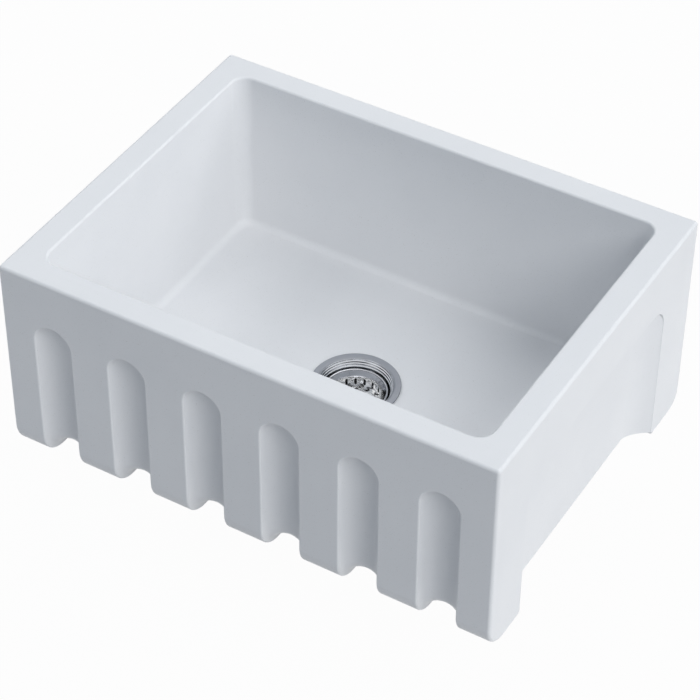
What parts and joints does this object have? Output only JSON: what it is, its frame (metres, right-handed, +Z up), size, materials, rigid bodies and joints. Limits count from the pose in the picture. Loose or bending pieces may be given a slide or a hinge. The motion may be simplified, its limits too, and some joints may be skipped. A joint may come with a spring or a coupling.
{
  "type": "farmhouse apron front sink",
  "caption": "White fireclay apron front sink: straight-sided basin, fluted front, arched side recesses, and a steel drain with a lift-out crumb basket and tailpiece.",
  "frame": {"origin": "middle of the rim's flat top", "axes": "+X along the sink's length, +Y from the fluted apron to the back, +Z up out of the basin"},
  "size_m": [0.609, 0.459, 0.3898],
  "materials": {
    "glaze": "satin white glaze",
    "strainer_steel": "satin pressed stainless steel",
    "basket_steel": "polished stainless steel",
    "putty": "plumber's putty, set",
    "gasket_rubber": "moulded black rubber",
    "fibre": "red vulcanised fibre",
    "nut_brass": "cast brass, as tumbled",
    "cross_steel": "cast stainless steel",
    "bush_plastic": "white moulded plastic",
    "post_steel": "turned stainless steel",
    "knob_chrome": "polished chrome plate",
    "stopper_rubber": "soft black rubber",
    "washer_plastic": "white plastic",
    "pipe_chrome": "chrome plated brass tube"
  },
  "bodies": {
    "sink": {"sink_basin": "glaze", "strainer_body": "strainer_steel", "flange_seal": "putty", "sink_gasket": "gasket_rubber", "friction_washer": "fibre", "locknut": "nut_brass", "outlet_cross": "cross_steel", "socket_bush": "bush_plastic", "tailpiece_washer": "washer_plastic", "tailpiece": "pipe_chrome", "coupling_nut": "pipe_chrome"},
    "post": {"basket_post": "post_steel", "basket_knob": "knob_chrome", "stopper_backing": "post_steel", "stopper_seal": "stopper_rubber", "post_nut": "post_steel"},
    "basket": {"basket_cup": "basket_steel"}
  },
  "joints": [
    {"name": "basket_lift", "type": "slide", "parent": "sink", "child": "post", "axis": [0, 0, 1], "range_m": [0, 0.08]},
    {"name": "basket_turn", "type": "hinge", "parent": "post", "child": "basket", "pos_m": [0, 0.0095, -0.25], "axis": [0, 0, 1], "continuous": true}
  ]
}
